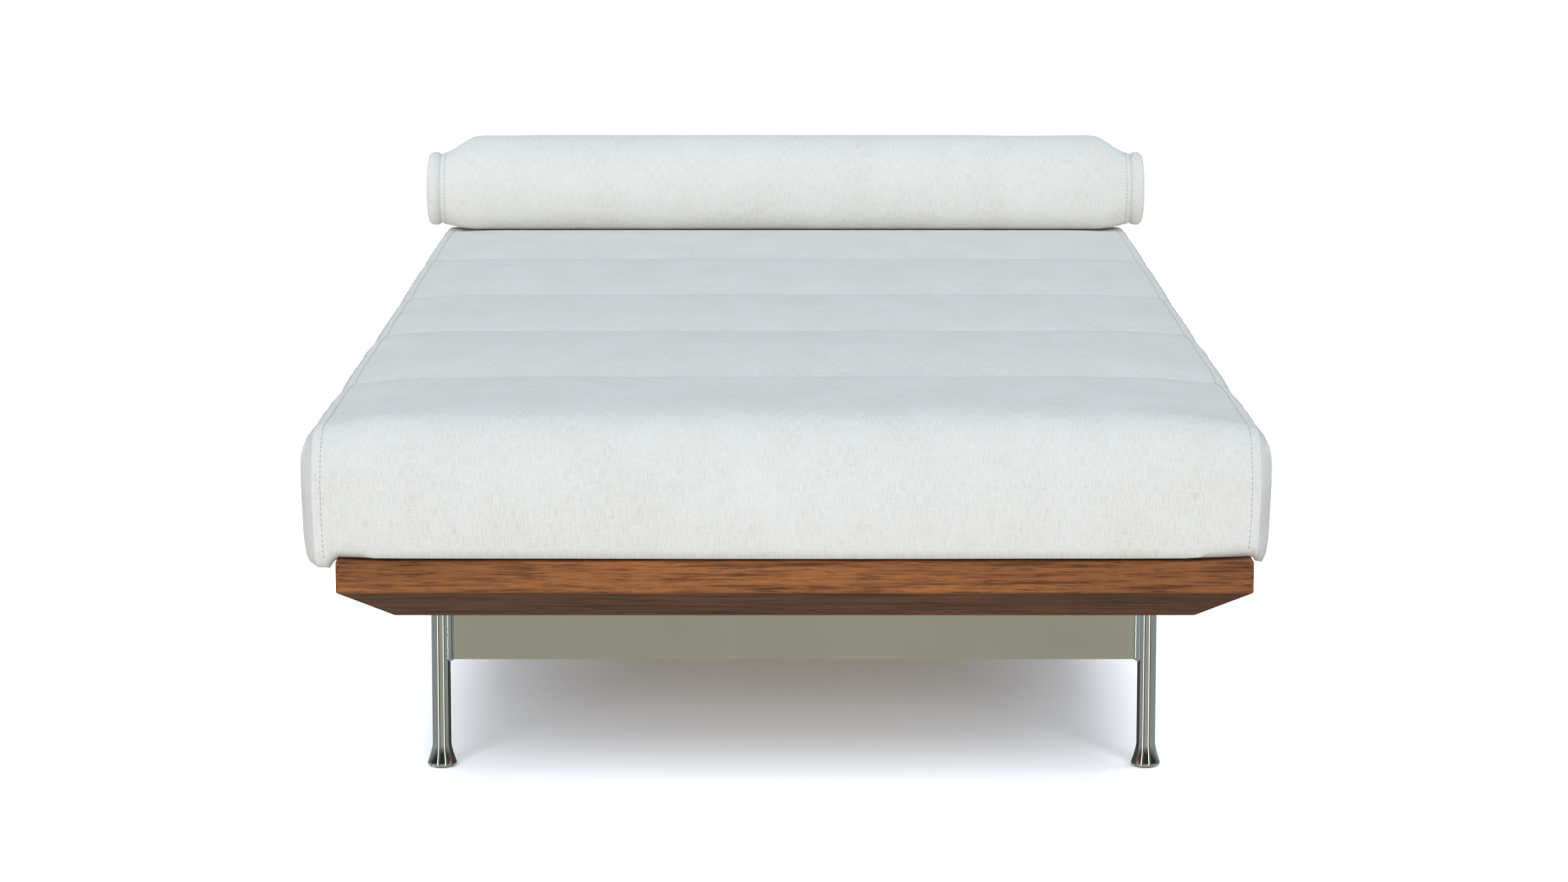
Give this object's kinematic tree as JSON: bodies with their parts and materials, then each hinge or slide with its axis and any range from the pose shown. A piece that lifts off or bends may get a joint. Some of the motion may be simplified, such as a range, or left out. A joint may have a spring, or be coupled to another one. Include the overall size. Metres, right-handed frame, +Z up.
{
  "type": "daybed",
  "caption": "Low daybed: walnut-stained mitred platform on chrome leg frames, with a channel-sewn mattress rolled over the ends and a loose bolster.",
  "frame": {"origin": "on the floor, under the middle of the platform and the middle of the whole daybed", "axes": "+Z up, +Y along the length from the foot end to the head end where the bolster lies, +X to the right seen from the foot end"},
  "size_m": [0.94, 1.88, 0.518],
  "materials": {
    "walnut_stained_wood": "walnut-stained hardwood, satin lacquer",
    "pine_wood": "planed, unfinished",
    "zinc_plated_steel": "bright zinc plate",
    "insert_brass": "turned",
    "polished_chrome": "polished chrome plate",
    "glide_nylon": "moulded nylon",
    "linen_cover": "off-white herringbone linen blend with beige slubs",
    "seat_foam": "open-cell foam",
    "fibre_wrap": "polyester fibre",
    "base_lining": "plain woven lining",
    "zip_tape": "woven zip tape with moulded teeth",
    "zip_metal": "plated die-cast"
  },
  "bodies": {
    "platform": {"foot_rail": "walnut_stained_wood", "head_rail": "walnut_stained_wood", "left_side_rail": "walnut_stained_wood", "right_side_rail": "walnut_stained_wood", "front_bearer": "pine_wood", "middle_bearer": "pine_wood", "rear_bearer": "pine_wood", "bearer_dowels": "pine_wood", "foot_left_corner_block": "pine_wood", "foot_right_corner_block": "pine_wood", "head_left_corner_block": "pine_wood", "head_right_corner_block": "pine_wood", "slat_1": "pine_wood", "slat_2": "pine_wood", "slat_3": "pine_wood", "slat_4": "pine_wood", "slat_5": "pine_wood", "slat_6": "pine_wood", "slat_7": "pine_wood", "slat_8": "pine_wood", "slat_9": "pine_wood", "slat_10": "pine_wood", "slat_11": "pine_wood", "corner_block_screws": "zinc_plated_steel", "slat_screws": "zinc_plated_steel", "leg_bolts": "zinc_plated_steel", "leg_bolt_washers": "zinc_plated_steel", "leg_bolt_inserts": "insert_brass", "front_mounting_bar": "polished_chrome", "front_apron_plate": "polished_chrome", "rear_mounting_bar": "polished_chrome", "rear_apron_plate": "polished_chrome", "front_left_leg_tube": "polished_chrome", "front_left_bell_foot": "polished_chrome", "front_right_leg_tube": "polished_chrome", "front_right_bell_foot": "polished_chrome", "rear_left_leg_tube": "polished_chrome", "rear_left_bell_foot": "polished_chrome", "rear_right_leg_tube": "polished_chrome", "rear_right_bell_foot": "polished_chrome", "front_left_glide": "glide_nylon", "front_right_glide": "glide_nylon", "rear_left_glide": "glide_nylon", "rear_right_glide": "glide_nylon"},
    "mattress": {"mattress_foam_core": "seat_foam", "mattress_fibre_wrap": "fibre_wrap", "mattress_base_panel": "base_lining", "mattress_zip": "zip_tape", "mattress_top_panel": "linen_cover", "mattress_left_side_panel": "linen_cover", "mattress_right_side_panel": "linen_cover"},
    "mattress_zip_slider": {"mattress_zip_slider": "zip_metal"},
    "bolster": {"bolster_foam_core": "seat_foam", "bolster_zip": "zip_tape", "bolster_cover": "linen_cover", "bolster_left_end_cap": "linen_cover", "bolster_right_end_cap": "linen_cover"},
    "bolster_zip_slider": {"bolster_zip_slider": "zip_metal"}
  },
  "joints": [
    {"name": "mattress_lift", "type": "slide", "parent": "platform", "child": "mattress", "axis": [0, 0, 1], "range_m": [0, 0.3]},
    {"name": "bolster_lift", "type": "slide", "parent": "mattress", "child": "bolster", "axis": [0, 0, 1], "range_m": [0, 0.3]},
    {"name": "mattress_zip_run", "type": "slide", "parent": "mattress", "child": "mattress_zip_slider", "axis": [-1, 0, 0], "range_m": [0, 0.689]},
    {"name": "bolster_zip_run", "type": "slide", "parent": "bolster", "child": "bolster_zip_slider", "axis": [-1, 0, 0], "range_m": [0, 0.629]}
  ]
}
